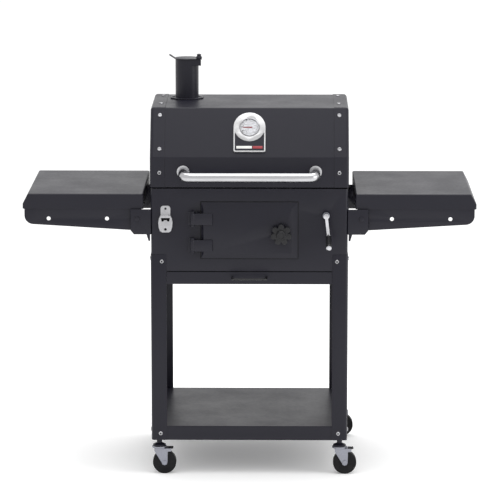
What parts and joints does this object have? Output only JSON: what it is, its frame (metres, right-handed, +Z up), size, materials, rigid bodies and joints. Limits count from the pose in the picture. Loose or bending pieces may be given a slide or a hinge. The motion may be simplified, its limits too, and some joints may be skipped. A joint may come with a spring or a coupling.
{
  "type": "charcoal grill smoker cart",
  "caption": "Black lidded charcoal grill and smoker on a four-legged cart, with folding side tables, a chimney, a crank-lifted tray and casters.",
  "frame": {"origin": "on the floor, under the middle of the whole object's box", "axes": "+X to the right seen from the front, +Y to the back, +Z up"},
  "size_m": [1.376, 0.6178, 1.266],
  "materials": {
    "black_paint": "satin black powder coat",
    "cast_iron": "seasoned",
    "chrome": "bright plated",
    "dial_glass": "clear",
    "inner_enamel": "matt black heat-proof enamel",
    "knob_plastic": "moulded, matt",
    "needle_paint": "red",
    "pedal_plastic": "moulded, matt",
    "stainless": "brushed",
    "wheel_plastic": "moulded, matt",
    "zinc": "bright zinc plated"
  },
  "bodies": {
    "root": {"front_left_leg": "black_paint", "front_right_leg": "black_paint", "rear_left_leg": "black_paint", "rear_right_leg": "black_paint", "bottom_shelf": "black_paint", "front_panel": "black_paint", "back_panel": "black_paint", "left_panel": "black_paint", "right_panel": "black_paint", "drawer_rails": "inner_enamel", "grate_ledges": "inner_enamel", "cooking_grates": "cast_iron", "door_hinge_brackets": "black_paint", "bottle_opener": "zinc", "tray_guides": "inner_enamel", "crank_bearings": "zinc", "lid_hinge_base": "black_paint", "table_brackets": "black_paint", "table_pivots": "black_paint", "caster_stems": "zinc", "frame_screws": "chrome"},
    "lid": {"lid_shell": "black_paint", "lid_left_end": "black_paint", "lid_right_end": "black_paint", "lid_handle": "stainless", "lid_hinge_leaves": "black_paint", "lid_screws": "chrome", "badge_frame": "stainless", "thermometer_case": "stainless", "thermometer_glass": "dial_glass", "chimney_flange": "black_paint", "chimney_tube": "black_paint", "chimney_cap_nut": "black_paint"},
    "chimney_cap": {"chimney_cap": "black_paint"},
    "thermometer_needle": {"thermometer_needle": "needle_paint"},
    "charcoal_door": {"charcoal_door": "black_paint", "door_straps": "black_paint"},
    "door_latch": {"door_knob": "knob_plastic", "door_latch": "zinc"},
    "ash_drawer": {"ash_pan": "inner_enamel", "drawer_front": "black_paint", "drawer_handle": "black_paint"},
    "charcoal_tray": {"charcoal_tray": "inner_enamel"},
    "crank": {"crank_shaft": "zinc", "crank_arm": "chrome"},
    "crank_grip": {"crank_grip": "knob_plastic"},
    "left_table": {"left_table_top": "black_paint", "left_table_arms": "black_paint"},
    "right_table": {"right_table_top": "black_paint", "right_table_arms": "black_paint"},
    "front_left_caster": {"front_left_caster_fork": "zinc"},
    "front_left_wheel": {"front_left_wheel": "wheel_plastic"},
    "left_brake_pedal": {"left_brake_pedal": "pedal_plastic"},
    "front_right_caster": {"front_right_caster_fork": "zinc"},
    "front_right_wheel": {"front_right_wheel": "wheel_plastic"},
    "right_brake_pedal": {"right_brake_pedal": "pedal_plastic"},
    "rear_left_caster": {"rear_left_caster_fork": "zinc"},
    "rear_left_wheel": {"rear_left_wheel": "wheel_plastic"},
    "rear_right_caster": {"rear_right_caster_fork": "zinc"},
    "rear_right_wheel": {"rear_right_wheel": "wheel_plastic"}
  },
  "joints": [
    {"name": "lid_hinge", "type": "hinge", "parent": "root", "child": "lid", "pos_m": [0, 0.298, 0.899], "axis": [-1, 0, 0], "range_deg": [0, 95]},
    {"name": "chimney_cap_swing", "type": "hinge", "parent": "lid", "child": "chimney_cap", "pos_m": [-0.159, 0.078, 1.249], "axis": [0, 0, 1], "range_deg": [0, 120]},
    {"name": "thermometer_needle_turn", "type": "hinge", "parent": "lid", "child": "thermometer_needle", "pos_m": [0, -0.15847, 1.07058], "axis": [0, -0.8421, 0.5394], "range_deg": [-225, 45]},
    {"name": "charcoal_door_hinge", "type": "hinge", "parent": "root", "child": "charcoal_door", "pos_m": [-0.172, -0.226, 0.76], "axis": [0, 0, -1], "range_deg": [0, 140]},
    {"name": "door_latch_turn", "type": "hinge", "parent": "charcoal_door", "child": "door_latch", "pos_m": [0.0964, -0.21, 0.7565], "axis": [0, -1, 0], "range_deg": [0, 90]},
    {"name": "ash_drawer_slide", "type": "slide", "parent": "root", "child": "ash_drawer", "axis": [0, -1, 0], "range_m": [0, 0.38]},
    {"name": "tray_lift", "type": "slide", "parent": "root", "child": "charcoal_tray", "axis": [0, 0, 1], "range_m": [0, 0.045]},
    {"name": "crank_turn", "type": "hinge", "parent": "root", "child": "crank", "pos_m": [0.2327, -0.21, 0.8088], "axis": [0, 1, 0], "range_deg": [0, 191.1]},
    {"name": "crank_grip_spin", "type": "hinge", "parent": "crank", "child": "crank_grip", "pos_m": [0.2397, -0.23, 0.7473], "axis": [0, -0.9511, -0.309], "continuous": true},
    {"name": "left_table_fold", "type": "hinge", "parent": "root", "child": "left_table", "pos_m": [-0.34, -0.21, 0.797], "axis": [0, -1, 0], "range_deg": [0, 88]},
    {"name": "right_table_fold", "type": "hinge", "parent": "root", "child": "right_table", "pos_m": [0.34, -0.21, 0.797], "axis": [0, 1, 0], "range_deg": [0, 88]},
    {"name": "front_left_caster_swivel", "type": "hinge", "parent": "root", "child": "front_left_caster", "pos_m": [-0.277, -0.19, 0.085], "axis": [0, 0, 1], "continuous": true},
    {"name": "front_left_wheel_spin", "type": "hinge", "parent": "front_left_caster", "child": "front_left_wheel", "pos_m": [-0.261, -0.19, 0.036], "axis": [0, 1, 0], "continuous": true},
    {"name": "left_brake_pedal_press", "type": "hinge", "parent": "front_left_caster", "child": "left_brake_pedal", "pos_m": [-0.245, -0.19, 0.0755], "axis": [0, 1, 0], "range_deg": [0, 16]},
    {"name": "front_right_caster_swivel", "type": "hinge", "parent": "root", "child": "front_right_caster", "pos_m": [0.277, -0.19, 0.085], "axis": [0, 0, 1], "continuous": true},
    {"name": "front_right_wheel_spin", "type": "hinge", "parent": "front_right_caster", "child": "front_right_wheel", "pos_m": [0.293, -0.19, 0.036], "axis": [0, 1, 0], "continuous": true},
    {"name": "right_brake_pedal_press", "type": "hinge", "parent": "front_right_caster", "child": "right_brake_pedal", "pos_m": [0.309, -0.19, 0.0755], "axis": [0, 1, 0], "range_deg": [0, 16]},
    {"name": "rear_left_caster_swivel", "type": "hinge", "parent": "root", "child": "rear_left_caster", "pos_m": [-0.277, 0.29, 0.085], "axis": [0, 0, 1], "continuous": true},
    {"name": "rear_left_wheel_spin", "type": "hinge", "parent": "rear_left_caster", "child": "rear_left_wheel", "pos_m": [-0.261, 0.29, 0.036], "axis": [0, 1, 0], "continuous": true},
    {"name": "rear_right_caster_swivel", "type": "hinge", "parent": "root", "child": "rear_right_caster", "pos_m": [0.277, 0.29, 0.085], "axis": [0, 0, 1], "continuous": true},
    {"name": "rear_right_wheel_spin", "type": "hinge", "parent": "rear_right_caster", "child": "rear_right_wheel", "pos_m": [0.293, 0.29, 0.036], "axis": [0, 1, 0], "continuous": true}
  ],
  "couplings": [
    {"joint": "crank_turn", "follows": "tray_lift", "rad_per_m": 74.074}
  ]
}
